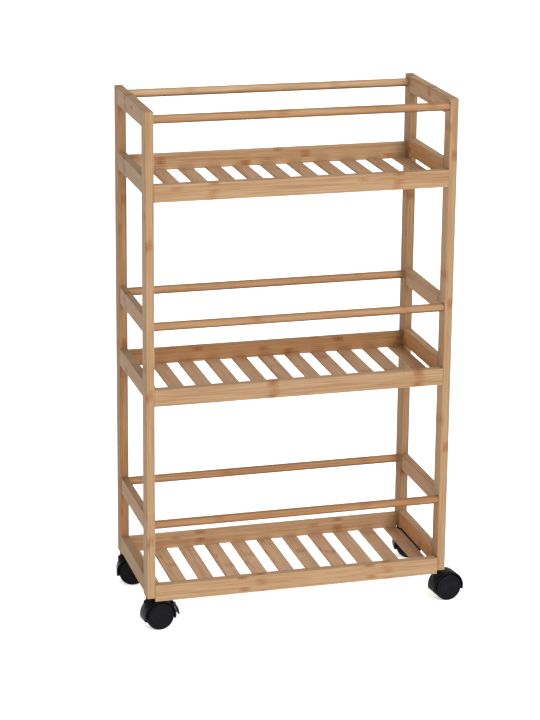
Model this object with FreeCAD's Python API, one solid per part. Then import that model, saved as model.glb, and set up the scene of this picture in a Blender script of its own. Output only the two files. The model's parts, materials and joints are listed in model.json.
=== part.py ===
import FreeCAD, Part
import math
import os

V = FreeCAD.Vector

# ---------------------------------------------------------------- driving dimensions, mm
WIDTH = 445.0           # over the posts, left to right
DEPTH = 200.0           # over the posts, front to back
HEIGHT = 750.0          # floor to the tops of the posts
STOCK_THICK = 12.0      # flat bamboo stock
STOCK_WIDE = 24.5
EASE = 1.0              # radius on the long edges of the stock
LOW_RAIL_THICK = 10.0   # the two lower guard rails stand in a little from the posts' faces

LEVELS = ("bottom", "middle", "top")
LEVEL_PITCH = 290.0     # from one tray to the next
TRAY_BOTTOM = 44.5      # underside of the bottom tray's front and rear boards
SIDE_BOARD_LIFT = 8.8   # side boards sit this much above the front boards
ROD_HEIGHT = 158.0      # centre of the lowest guard rods
ROD_DIA = 12.0
ROD_INSET = 7.8         # rod centre from the front or rear face
ROD_SEAT = 6.0          # how far a rod goes into a post

SLAT_COUNT = 11
SLAT_PITCH = 40.4
SLAT_WIDE = 22.0
SLAT_THICK = 3.0
SLAT_EASE = 0.5
RABBET_DEEP = 7.0       # seat for the slat ends, cut into the boards' inner faces

DOWEL_DIA = 6.0
DOWEL_LENGTH = 20.0
SIDE_DOWEL_IN_POST = 9.0
BOARD_DOWEL_DIA = 5.0
BOARD_DOWEL_IN_POST = 7.0
BOARD_DOWEL_INSET = 5.0  # dowel centre from the front or rear face
HOLE_ROOM = 0.05        # radial room round a glued rod, dowel or brad
END_ROOM = 0.2          # room past the end of a glued rod, dowel or slat

BRAD_DIA = 1.4
BRAD_LENGTH = 9.0
BRAD_HEAD_DIA = 2.8
BRAD_HEAD_THICK = 0.6
BRAD_INSET = 3.5        # brad centre from the end of the slat

CASTER_HEIGHT = 50.0    # floor to the underside of a post
WHEEL_R = 20.0
WHEEL_WIDE = 9.0
WHEEL_RIM = 3.5
WHEEL_DISC = 2.2
WHEEL_SHOULDER = 1.2
RING_GROOVE_R = 15.6    # shallow ring on the outer face of a wheel
RING_GROOVE_WIDE = 0.8
RING_GROOVE_DEEP = 0.4
HUB_R = 5.0
TRAIL = 13.0            # axle from the swivel axis
AXLE_R = 2.0
AXLE_HALF = 11.0
RUNNING_ROOM = 0.05     # radial room in a running bore
HUB_SKIN = 0.8          # closed outer end of a wheel's bore

WEB_THICK = 5.0
WEB_GAP = 0.5           # between the web and each wheel
WEB_END = 11.0          # height of the web's lower end
HOOD_R = 23.8
WELL_R = 21.2
HOOD_HALF = 11.6
HOOD_END = 14.5         # height of the mudguard's lower ends
NECK_R = 5.5
NECK_TOP = 49.0

INSERT_R = 4.0
INSERT_LENGTH = 12.0
THREAD_R = 3.0
FLANGE_R = 5.5
FLANGE_THICK = 0.8
PIN_BOTTOM = 40.0

LEVER_HALF = 7.5
LEVER_THICK = 2.2
LEVER_PIVOT_R = 26.2    # pivot from the axle
LEVER_PIVOT_DEG = 38.0
LEVER_BARREL_R = 1.9
LEVER_PIN_R = 1.0
LEVER_CAM_R = 20.9      # cam tip from the axle, brake off
LEVER_CAM_DEG = (26.0, 34.0)
LEVER_CAM_GAP = 3.1     # half the space between the two cams, round the web
LEVER_FLAP = ((34.0, 27.8), (15.0, 28.7), (-4.0, 30.4))  # degrees, radius of the outer face
LUG_R = 2.6
LUG_THICK = 2.3
LUG_GAP = 0.2
SLOT_DEG = (17.0, 47.0)
SLOT_ROOM = 0.3

# corner: side, depth side, heading of the wheels in degrees, has a brake
CORNERS = {
    "front_left": (-1, -1, 7.0, True),
    "front_right": (1, -1, 7.0, False),
    "rear_left": (-1, 1, -10.0, True),
    "rear_right": (1, 1, -10.0, False),
}

PARALLEL = 0.999        # cosine above which two directions count as the same
OVERCUT = 1.0           # how far a cutting or joining block runs past the face it crosses

# ---------------------------------------------------------------- worked-out dimensions
SIDES = {"left": -1, "right": 1}
FACES = {"front": -1, "rear": 1}
HALF_WIDE = WIDTH / 2
HALF_DEEP = DEPTH / 2
POST_INNER_X = HALF_WIDE - STOCK_THICK
POST_INNER_Y = HALF_DEEP - STOCK_WIDE
POST_MID_X = HALF_WIDE - STOCK_THICK / 2
SWIVEL_Y = HALF_DEEP - STOCK_WIDE / 2
BOARD_INNER_Y = HALF_DEEP - STOCK_THICK
SLAT_HALF = BOARD_INNER_Y + RABBET_DEEP - END_ROOM
ROD_Y = HALF_DEEP - ROD_INSET
AXLE = V(TRAIL, 0, WHEEL_R)
ALONG_X = V(1, 0, 0)
ALONG_Y = V(0, 1, 0)
ALONG_Z = V(0, 0, 1)
WHEEL_INNER = WEB_THICK / 2 + WEB_GAP
WHEEL_OUTER = WHEEL_INNER + WHEEL_WIDE


def tray_bottom(level):
    """Underside of the front and rear boards of a tray."""
    return TRAY_BOTTOM + LEVEL_PITCH * LEVELS.index(level)


def rod_height(level):
    """Height of the guard rods' centres above a tray."""
    return ROD_HEIGHT + LEVEL_PITCH * LEVELS.index(level)


def guard_rail_bottom(level):
    """Underside of a guard rail; the highest one ends flush with the posts."""
    return min(rod_height(level) - STOCK_WIDE / 2, HEIGHT - STOCK_WIDE)


def guard_rail_thick(level):
    """Thickness of a guard rail; the highest one is as thick as the posts."""
    return STOCK_THICK if level == LEVELS[-1] else LOW_RAIL_THICK


def slat_places():
    """Centres of a tray's slats along the width."""
    middle = (SLAT_COUNT - 1) / 2
    return [(number - middle) * SLAT_PITCH for number in range(SLAT_COUNT)]


# ---------------------------------------------------------------- small builders
def block(x_range, y_range, z_range):
    """Plain box between three pairs of limits, in any order."""
    (x0, x1), (y0, y1), (z0, z1) = (sorted(pair) for pair in (x_range, y_range, z_range))
    return Part.makeBox(x1 - x0, y1 - y0, z1 - z0, V(x0, y0, z0))


def eased(shape, axis, radius=EASE):
    """Round the straight edges that run along an axis."""
    edges = [edge for edge in shape.Edges if abs(edge.tangentAt(edge.FirstParameter).dot(axis)) > PARALLEL]
    return shape.makeFillet(radius, edges)


def rod(radius, start, end):
    """Round bar from start to end."""
    run = end.sub(start)
    return Part.makeCylinder(radius, run.Length, start, run)


def bore_room(radius, start, end):
    """Hole for a glued round bar: a little wider, and longer at both ends."""
    run = end.sub(start).normalize().multiply(END_ROOM)
    return rod(radius + HOLE_ROOM, start.sub(run), end.add(run))


# ---------------------------------------------------------------- hidden and round members
def guard_rods():
    """Round guard rods, as name to (start, end)."""
    reach = POST_INNER_X + ROD_SEAT
    lines = {}
    for level in LEVELS:
        for face, way in FACES.items():
            height = rod_height(level)
            lines[f"{face}_rod_{level}"] = (V(-reach, way * ROD_Y, height), V(reach, way * ROD_Y, height))
    return lines


def side_dowels():
    """Dowels in the ends of the guard rails and side boards."""
    lines = []
    for side in SIDES.values():
        for level in LEVELS:
            for bottom in (guard_rail_bottom(level), tray_bottom(level) + SIDE_BOARD_LIFT):
                for way in FACES.values():
                    outer = way * (POST_INNER_Y + SIDE_DOWEL_IN_POST)
                    inner = outer - way * DOWEL_LENGTH
                    height = bottom + STOCK_WIDE / 2
                    lines.append((V(side * POST_MID_X, inner, height), V(side * POST_MID_X, outer, height)))
    return lines


def board_dowels():
    """Dowels in the ends of the front and rear boards."""
    lines = []
    for side in SIDES.values():
        for level in LEVELS:
            for way in FACES.values():
                outer = side * (POST_INNER_X + BOARD_DOWEL_IN_POST)
                inner = outer - side * DOWEL_LENGTH
                place_y = way * (HALF_DEEP - BOARD_DOWEL_INSET)
                height = tray_bottom(level) + STOCK_WIDE / 2
                lines.append((V(inner, place_y, height), V(outer, place_y, height)))
    return lines


def brad_places(level):
    """Undersides of the brads of one tray."""
    reach = SLAT_HALF - BRAD_INSET
    return [V(x, way * reach, tray_bottom(level)) for x in slat_places() for way in FACES.values()]


def brad(foot, room=0.0):
    """Brad with its head flush with the slat's underside."""
    shank = Part.makeCylinder(BRAD_DIA / 2 + room, BRAD_LENGTH + room, foot)
    head = Part.makeCylinder(BRAD_HEAD_DIA / 2 + room, BRAD_HEAD_THICK + room, foot)
    return shank.fuse(head)


# ---------------------------------------------------------------- bamboo frame
def post(side, way, bores):
    """Upright with its rod holes, dowel holes and insert bore."""
    shape = block((side * POST_INNER_X, side * HALF_WIDE), (way * POST_INNER_Y, way * HALF_DEEP),
                  (CASTER_HEIGHT, HEIGHT))
    upright = [edge for edge in shape.Edges if abs(edge.Vertexes[0].Z - edge.Vertexes[1].Z) > STOCK_WIDE]
    top = [edge for edge in shape.Edges if min(point.Z for point in edge.Vertexes) > HEIGHT - EASE]
    shape = shape.makeFillet(EASE, upright + top)
    insert_bore = Part.makeCylinder(INSERT_R + HOLE_ROOM, INSERT_LENGTH,
                                    V(side * POST_MID_X, way * SWIVEL_Y, CASTER_HEIGHT))
    return shape.cut(bores + [insert_bore])


def side_member(side, bottom, thick, bores):
    """Guard rail or side board between the two posts of a side frame."""
    faces = (side * (POST_MID_X - thick / 2), side * (POST_MID_X + thick / 2))
    shape = block(faces, (-POST_INNER_Y, POST_INNER_Y), (bottom, bottom + STOCK_WIDE))
    return eased(shape, ALONG_Y).cut(bores)


def long_board(way, level, bores):
    """Front or rear board of a tray, with the rabbet for the slat ends and the brad holes."""
    bottom = tray_bottom(level)
    shape = block((-POST_INNER_X, POST_INNER_X), (way * BOARD_INNER_Y, way * HALF_DEEP),
                  (bottom, bottom + STOCK_WIDE))
    shape = eased(shape, ALONG_X)
    rabbet = block((-WIDTH, WIDTH), (0, way * (BOARD_INNER_Y + RABBET_DEEP)), (0, bottom + SLAT_THICK))
    brads = [brad(foot, HOLE_ROOM) for foot in brad_places(level) if foot.y * way > 0]
    return shape.cut([rabbet] + brads + bores)


def slats(level):
    """The slats of one tray; the outermost ones are notched round the posts."""
    bottom = tray_bottom(level)
    notch_x = POST_INNER_X - END_ROOM
    notch_y = POST_INNER_Y - END_ROOM
    heights = (bottom - OVERCUT, bottom + SLAT_THICK + OVERCUT)
    notches = [
        block((side * notch_x, side * WIDTH), (way * notch_y, way * DEPTH), heights)
        for side in SIDES.values() for way in FACES.values()
    ]
    brads = [brad(foot, HOLE_ROOM) for foot in brad_places(level)]
    pieces = []
    for x in slat_places():
        width = (x - SLAT_WIDE / 2, x + SLAT_WIDE / 2)
        slat = block(width, (-SLAT_HALF, SLAT_HALF), (bottom, bottom + SLAT_THICK))
        slat = eased(slat, ALONG_Y, SLAT_EASE)
        near = [hole for hole in brads if abs(hole.BoundBox.Center.x - x) < SLAT_PITCH / 2]
        pieces.append(slat.cut(near + notches))
    return Part.makeCompound(pieces)


# ---------------------------------------------------------------- casters, swivel axis on Z
def axle_disc(radius, low, high):
    """Disc on the axle line between two places along it."""
    return Part.makeCylinder(radius, high - low, V(TRAIL, low, WHEEL_R), ALONG_Y)


def rounded_disc(radius, low, high, shoulder):
    """Disc on the axle line with its two round edges eased."""
    disc = axle_disc(radius, low, high)
    rims = [edge for edge in disc.Edges if len(edge.Vertexes) == 1]
    return disc.makeFillet(shoulder, rims)


def round_the_axle(degrees, radius, along=0.0):
    """Point at an angle above the horizontal behind the axle."""
    angle = math.radians(degrees)
    return AXLE.add(V(radius * math.cos(angle), along, radius * math.sin(angle)))


def sector(degrees, radii, half_wide):
    """Block between two angles and two radii round the axle."""
    (low, high), (inner, outer) = degrees, radii
    middle = (low + high) / 2
    arcs = [
        Part.Arc(*(round_the_axle(angle, radius, -half_wide) for angle in (low, middle, high))).toShape()
        for radius in (inner, outer)
    ]
    ends = [
        Part.makeLine(round_the_axle(angle, inner, -half_wide), round_the_axle(angle, outer, -half_wide))
        for angle in (low, high)
    ]
    face = Part.Face(Part.Wire(Part.__sortEdges__(arcs + ends)))
    return face.extrude(V(0, 2 * half_wide, 0))


def stem():
    """Steel stem: thread, flange under the post, and swivel pin in the neck."""
    thread = Part.makeCylinder(THREAD_R, INSERT_LENGTH, V(0, 0, CASTER_HEIGHT))
    flange = Part.makeCylinder(FLANGE_R, FLANGE_THICK, V(0, 0, CASTER_HEIGHT - FLANGE_THICK))
    pin = Part.makeCylinder(THREAD_R, CASTER_HEIGHT - PIN_BOTTOM, V(0, 0, PIN_BOTTOM))
    return thread.fuse([flange, pin]).removeSplitter()


def insert():
    """Threaded insert in the end of a post."""
    start = V(0, 0, CASTER_HEIGHT)
    outside = Part.makeCylinder(INSERT_R, INSERT_LENGTH, start)
    return outside.cut(Part.makeCylinder(THREAD_R + HOLE_ROOM, INSERT_LENGTH, start))


def lever_pivot():
    """Line of the brake lever's pin, at the middle of the hood."""
    return round_the_axle(LEVER_PIVOT_DEG, LEVER_PIVOT_R)


def pivot_disc(radius, low, high):
    """Disc on the brake lever's pin between two places along it."""
    return Part.makeCylinder(radius, high - low, lever_pivot().add(V(0, low, 0)), ALONG_Y)


def brake_lugs():
    """Two ears on the hood that carry the brake lever's pin."""
    lugs = []
    for side in (-1, 1):
        low, high = sorted((side * (LEVER_HALF + LUG_GAP), side * (LEVER_HALF + LUG_GAP + LUG_THICK)))
        spread = math.degrees(LUG_R / LEVER_PIVOT_R)
        angles = (LEVER_PIVOT_DEG - spread, LEVER_PIVOT_DEG + spread)
        root = sector(angles, (WELL_R + OVERCUT, LEVER_PIVOT_R), LUG_THICK / 2)
        root.translate(V(0, (low + high) / 2, 0))
        lugs.append(pivot_disc(LUG_R, low, high).fuse(root))
    return lugs


def hood(has_brake):
    """Mudguard over both wheels, with the middle web and the swivel neck."""
    below = block((-WIDTH, WIDTH), (-DEPTH, DEPTH), (-WHEEL_R, HOOD_END))
    below_web = block((-WIDTH, WIDTH), (-DEPTH, DEPTH), (-WHEEL_R, WEB_END))
    guard = rounded_disc(HOOD_R, -HOOD_HALF, HOOD_HALF, EASE).cut(below)
    web = axle_disc(WELL_R, -WEB_THICK / 2, WEB_THICK / 2).cut(below_web)
    neck = Part.makeCylinder(NECK_R, NECK_TOP - WHEEL_R, V(0, 0, WHEEL_R))
    added = [web, neck]
    wells = [axle_disc(WELL_R, WEB_THICK / 2, WIDTH), axle_disc(WELL_R, -WIDTH, -WEB_THICK / 2)]
    pin_bore = Part.makeCylinder(THREAD_R + RUNNING_ROOM, NECK_TOP, V(0, 0, PIN_BOTTOM - END_ROOM))
    cuts = wells + [pin_bore, axle_disc(AXLE_R + HOLE_ROOM / 2, -WEB_THICK, WEB_THICK)]
    if has_brake:
        added += brake_lugs()
        cuts.append(sector(SLOT_DEG, (WELL_R, LEVER_PIVOT_R - LEVER_BARREL_R - SLOT_ROOM / 2),
                           LEVER_HALF + SLOT_ROOM / 2))
        cuts.append(pivot_disc(LEVER_PIN_R + HOLE_ROOM / 2, -HOOD_HALF, HOOD_HALF))
    return guard.fuse(added).cut(cuts).removeSplitter()


def axle():
    """Steel axle across the web."""
    return axle_disc(AXLE_R, -AXLE_HALF, AXLE_HALF)


def wheel(way):
    """Dished wheel with a blind hub bore; its closed face looks outwards."""
    tread = rounded_disc(WHEEL_R, WHEEL_INNER, WHEEL_OUTER, WHEEL_SHOULDER)
    dish = axle_disc(WHEEL_R - WHEEL_RIM, 0, WHEEL_OUTER - WHEEL_DISC).cut(axle_disc(HUB_R, 0, WHEEL_OUTER))
    groove = axle_disc(RING_GROOVE_R, WHEEL_OUTER - RING_GROOVE_DEEP, WIDTH)
    groove = groove.cut(axle_disc(RING_GROOVE_R - RING_GROOVE_WIDE, 0, WIDTH))
    bore = axle_disc(AXLE_R + RUNNING_ROOM, 0, WHEEL_OUTER - HUB_SKIN)
    shape = tread.cut([dish, groove, bore])
    if way < 0:
        shape = shape.mirror(V(0, 0, 0), ALONG_Y)
    return shape


def brake_lever():
    """Foot lever: barrel, two cams towards the wheels, and a flared flap."""
    outer = [round_the_axle(degrees, radius, -LEVER_HALF) for degrees, radius in LEVER_FLAP]
    inner = [round_the_axle(degrees, radius - LEVER_THICK, -LEVER_HALF) for degrees, radius in LEVER_FLAP]
    edges = [
        Part.Arc(*outer).toShape(),
        Part.makeLine(outer[2], inner[2]),
        Part.Arc(*reversed(inner)).toShape(),
        Part.makeLine(inner[0], outer[0]),
    ]
    flap = Part.Face(Part.Wire(edges)).extrude(V(0, 2 * LEVER_HALF, 0))
    barrel = pivot_disc(LEVER_BARREL_R, -LEVER_HALF, LEVER_HALF)
    cams = sector(LEVER_CAM_DEG, (LEVER_CAM_R, LEVER_PIVOT_R), LEVER_HALF)
    cams = cams.cut(axle_disc(HOOD_R, -LEVER_CAM_GAP, LEVER_CAM_GAP))
    bore = pivot_disc(LEVER_PIN_R + RUNNING_ROOM, -LEVER_HALF, LEVER_HALF)
    return flap.fuse([barrel, cams]).cut(bore).removeSplitter()


def brake_pin():
    """Steel pin of the brake lever."""
    reach = LEVER_HALF + LUG_GAP + LUG_THICK
    return pivot_disc(LEVER_PIN_R, -reach, reach)


def caster(has_brake):
    """Pieces of one caster with its swivel axis on Z and its wheels trailing along +X."""
    pieces = {
        "stem": stem(),
        "hood": hood(has_brake),
        "axle": axle(),
        "left_wheel": wheel(1),
        "right_wheel": wheel(-1),
    }
    if has_brake:
        pieces["brake_lever"] = brake_lever()
        pieces["brake_pin"] = brake_pin()
    return pieces


# ---------------------------------------------------------------- whole cart
def frame_nodes():
    """Bamboo pieces and what joins them."""
    rods = guard_rods()
    side_lines = side_dowels()
    board_lines = board_dowels()
    dowel_bores = [bore_room(DOWEL_DIA / 2, *line) for line in side_lines]
    board_bores = [bore_room(BOARD_DOWEL_DIA / 2, *line) for line in board_lines]
    rod_bores = [bore_room(ROD_DIA / 2, *line) for line in rods.values()]
    nodes = {}
    for corner, (side, way, _, _) in CORNERS.items():
        nodes[f"post_{corner}"] = post(side, way, dowel_bores + board_bores + rod_bores)
    for name, side in SIDES.items():
        for level in LEVELS:
            rail = side_member(side, guard_rail_bottom(level), guard_rail_thick(level), dowel_bores)
            board = side_member(side, tray_bottom(level) + SIDE_BOARD_LIFT, STOCK_THICK, dowel_bores)
            nodes[f"guard_rail_{name}_{level}"] = rail
            nodes[f"side_board_{name}_{level}"] = board
    for face, way in FACES.items():
        for level in LEVELS:
            nodes[f"{face}_board_{level}"] = long_board(way, level, board_bores)
    for level in LEVELS:
        nodes[f"slats_{level}"] = slats(level)
    for name, line in rods.items():
        nodes[name] = rod(ROD_DIA / 2, *line)
    nodes["side_frame_dowels"] = Part.makeCompound([rod(DOWEL_DIA / 2, *line) for line in side_lines])
    nodes["tray_board_dowels"] = Part.makeCompound([rod(BOARD_DOWEL_DIA / 2, *line) for line in board_lines])
    nodes["slat_brads"] = Part.makeCompound([brad(foot) for level in LEVELS for foot in brad_places(level)])
    return nodes


def caster_nodes():
    """Four casters under the posts, and the inserts that hold them."""
    nodes = {}
    inserts = []
    for corner, (side, way, heading, has_brake) in CORNERS.items():
        place = V(side * POST_MID_X, way * SWIVEL_Y, 0)
        for piece, shape in caster(has_brake).items():
            shape.rotate(V(0, 0, 0), ALONG_Z, heading)
            shape.translate(place)
            nodes[f"caster_{corner}_{piece}"] = shape
        ring = insert()
        ring.translate(place)
        inserts.append(ring)
    nodes["caster_inserts"] = Part.makeCompound(inserts)
    return nodes


def centring_shift(nodes):
    """Move that puts the middle of the whole cart's box over the origin."""
    box = Part.makeCompound(list(nodes.values())).optimalBoundingBox(False, False)
    return V(-(box.XMin + box.XMax) / 2, -(box.YMin + box.YMax) / 2, 0)


def build():
    """All nodes in the part's own frame, and the shift that brought them there."""
    nodes = {**frame_nodes(), **caster_nodes()}
    shift = centring_shift(nodes)
    for shape in nodes.values():
        shape.translate(shift)
    return nodes, shift


NODES, SHIFT = build()
os.makedirs("parts", exist_ok=True)
for node_name, node_shape in NODES.items():
    node_shape.exportStep(f"parts/{node_name}.step")
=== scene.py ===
"""Looks of a narrow rolling bamboo cart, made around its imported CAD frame.

The flat bamboo stock and the round rods keep their CAD shapes and get lacquered bamboo
finishes.  The slats, the brads and the plastic parts of the casters are made again with
finer edges and more detail.  All sizes are in metres; places come from the frame.
"""
import json
import logging
import math
from dataclasses import dataclass, field, replace
from enum import Enum
from typing import Iterable, Optional, Sequence, Union

import bmesh
import bpy
from mathutils import Matrix, Vector


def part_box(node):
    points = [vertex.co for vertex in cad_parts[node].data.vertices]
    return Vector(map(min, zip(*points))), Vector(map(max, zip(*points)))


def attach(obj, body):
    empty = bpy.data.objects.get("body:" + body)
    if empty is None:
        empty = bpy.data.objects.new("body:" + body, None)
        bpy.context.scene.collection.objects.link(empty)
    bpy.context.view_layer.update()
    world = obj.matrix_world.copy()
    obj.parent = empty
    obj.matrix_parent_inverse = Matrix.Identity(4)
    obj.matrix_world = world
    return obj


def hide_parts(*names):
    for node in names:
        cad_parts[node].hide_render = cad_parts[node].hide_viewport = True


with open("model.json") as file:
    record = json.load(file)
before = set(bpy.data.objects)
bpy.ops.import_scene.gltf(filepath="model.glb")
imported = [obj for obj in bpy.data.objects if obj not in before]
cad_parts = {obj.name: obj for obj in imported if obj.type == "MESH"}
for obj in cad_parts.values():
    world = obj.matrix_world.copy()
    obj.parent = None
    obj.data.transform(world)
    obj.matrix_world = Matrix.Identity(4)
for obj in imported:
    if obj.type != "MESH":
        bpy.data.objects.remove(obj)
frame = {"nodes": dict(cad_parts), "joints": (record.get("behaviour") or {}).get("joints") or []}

LOG = logging.getLogger("rolling_cart")
MM = 0.001
HALF = 0.5
RIGHT_ANGLE = 90.0
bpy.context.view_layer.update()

# Points closer than WELD are joined, and a turn within FULL_SLACK of a full one is closed.
WELD = MM * 0.001
FULL_SLACK = 1e-6
# A corner wider than STRAIGHT stays as it is; a rounding takes up to EDGE_REACH of an edge.
STRAIGHT = math.pi * 0.98
EDGE_REACH = 0.49
SMOOTH_BELOW = math.radians(35.0)
EASE_ABOVE = math.radians(50.0)
UPRIGHT_TURN = Matrix.Rotation(math.pi * HALF, 4, "X")
ABOUT_TURN = Matrix.Rotation(math.pi, 4, "Z")

Socket = bpy.types.NodeSocket
Feed = Union[Socket, float, int, bool, Sequence[float]]
Feeds = dict[Union[str, int], Feed]
Colour = tuple[float, float, float]
Pair = tuple[float, float]
Ramp = tuple[float, float, float, float]
Outline = list[Pair]


# ---------------------------------------------------------------- named options
class Grain(Enum):
    """The way the bamboo fibres run: along the grain, then the two ways across it."""

    ALONG_WIDTH = ("X", "Y", "Z")
    ALONG_DEPTH = ("Y", "X", "Z")
    UPRIGHT = ("Z", "X", "Y")


class Level(Enum):
    """The three trays, from the floor up."""

    BOTTOM = "bottom"
    MIDDLE = "middle"
    TOP = "top"


class Corner(Enum):
    """The four posts, each with a caster under it."""

    FRONT_LEFT = "front_left"
    FRONT_RIGHT = "front_right"
    REAR_LEFT = "rear_left"
    REAR_RIGHT = "rear_right"


class Slot(Enum):
    """Names of the record's material slots."""

    SLAT = "bamboo_slat"
    STEEL = "steel"
    HOOD = "caster_hood"
    WHEEL = "caster_wheel"
    LEVER = "brake_lever"


class Draw(Enum):
    """What each kind of random draw adds to a finish's seed."""

    TONE = 0.0
    SPREAD = 5.0
    STRAY = 6.0
    KEPT = 9.0
    PIECE = 11.0


# ---------------------------------------------------------------- node trees
class NodeWeb:
    """Adds and links the nodes of one tree."""

    def __init__(self, tree: bpy.types.NodeTree) -> None:
        """Start an empty tree.

        Args:
            tree: the shader or geometry tree to fill.
        """
        self.tree = tree
        self.tree.nodes.clear()

    def feed(self, target: Socket, source: Feed) -> None:
        """Link a socket, or give it a fixed value.

        Args:
            target: the input socket.
            source: an output socket or a plain value.
        """
        if isinstance(source, bpy.types.NodeSocket):
            self.tree.links.new(source, target)
        else:
            target.default_value = source

    def add(self, kind: str, feeds: Optional[Feeds] = None, **settings: object) -> bpy.types.Node:
        """Add one node.

        Args:
            kind: the node's type name.
            feeds: what goes into its inputs, by socket name or number.
            settings: values of the node's own properties.

        Returns:
            The new node.
        """
        node = self.tree.nodes.new(kind)
        for name, value in settings.items():
            setattr(node, name, value)
        self.feed_all(node, feeds or {})
        return node

    def feed_all(self, node: bpy.types.Node, feeds: Feeds) -> None:
        """Link or set several inputs of one node, by socket name or number."""
        for key, source in feeds.items():
            self.feed(node.inputs[key], source)

    def calc(self, operation: str, *terms: Feed, clamp: bool = False) -> Socket:
        """One sum on numbers.

        Args:
            operation: the Math node's operation.
            terms: its inputs, in order.
            clamp: whether the result stays between 0 and 1.

        Returns:
            The result's socket.
        """
        node = self.add("ShaderNodeMath", dict(enumerate(terms)), operation=operation, use_clamp=clamp)
        return node.outputs[0]

    def vector(self, x: Feed, y: Feed, z: Feed) -> Socket:
        """Join three numbers into a vector."""
        return self.add("ShaderNodeCombineXYZ", {0: x, 1: y, 2: z}).outputs[0]

    def smooth(self, value: Feed, low: float, high: float, start: float = 0.0, end: float = 1.0) -> Socket:
        """Ease a number from one range to another.

        Args:
            value: the number.
            low: where the change starts.
            high: where it ends.
            start: result at and below low.
            end: result at and above high.

        Returns:
            The eased number's socket.
        """
        feeds = {"Value": value, "From Min": low, "From Max": high, "To Min": start, "To Max": end}
        return self.add("ShaderNodeMapRange", feeds, interpolation_type="SMOOTHSTEP").outputs[0]

    def mix(self, share: Feed, first: Feed, second: Feed, blend: str = "MIX") -> Socket:
        """Mix two colours.

        Args:
            share: how much of the second, from 0 to 1.
            first: the first colour.
            second: the second colour.
            blend: the way they mix.

        Returns:
            The mixed colour's socket.
        """
        feeds = {"Factor": share, 6: first, 7: second}
        node = self.add("ShaderNodeMix", feeds, data_type="RGBA", blend_type=blend, clamp_factor=True)
        return node.outputs[2]

    def noise(self, place: Socket, scale: float, detail: float = 2.0, rough: float = 0.5) -> Socket:
        """Soft noise.

        Args:
            place: where it is read.
            scale: features per unit.
            detail: octaves.
            rough: strength of the finer octaves.

        Returns:
            The noise value's socket.
        """
        feeds = {"Vector": place, "Scale": scale, "Detail": detail, "Roughness": rough}
        return self.add("ShaderNodeTexNoise", feeds).outputs[0]

    def chance(self, place: Socket) -> Socket:
        """A random number from 0 to 1 for each exact place."""
        return self.add("ShaderNodeTexWhiteNoise", {"Vector": place}, noise_dimensions="3D").outputs[0]

    def bump(self, height: Socket, depth: float) -> Socket:
        """The normal of a surface with that relief, as deep as that many metres."""
        return self.add("ShaderNodeBump", {"Height": height, "Distance": depth, "Strength": 1.0}).outputs[0]


def opaque(colour: Colour) -> tuple[float, float, float, float]:
    """The colour with full alpha."""
    return (*colour, 1.0)


def grey(level: float) -> Colour:
    """The same level in all three channels."""
    return (level, level, level)


MADE: dict[str, bpy.types.Material] = {}


class Finish:
    """What every finish shares: one shader, made once and used again."""

    name: str

    def material(self) -> bpy.types.Material:
        """The finish's material, built on first use.

        Returns:
            The material.
        """
        if self.name in MADE:
            return MADE[self.name]
        made = MADE[self.name] = bpy.data.materials.new(self.name)
        made.use_nodes = True
        web = NodeWeb(made.node_tree)
        shader = web.add("ShaderNodeBsdfPrincipled")
        out = web.add("ShaderNodeOutputMaterial")
        web.feed(out.inputs["Surface"], shader.outputs[0])
        self.dress(web, shader)
        return made

    def dress(self, web: NodeWeb, shader: bpy.types.Node) -> None:
        """Feed the shader.

        Args:
            web: the material's tree.
            shader: its Principled shader.
        """
        raise NotImplementedError


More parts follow.
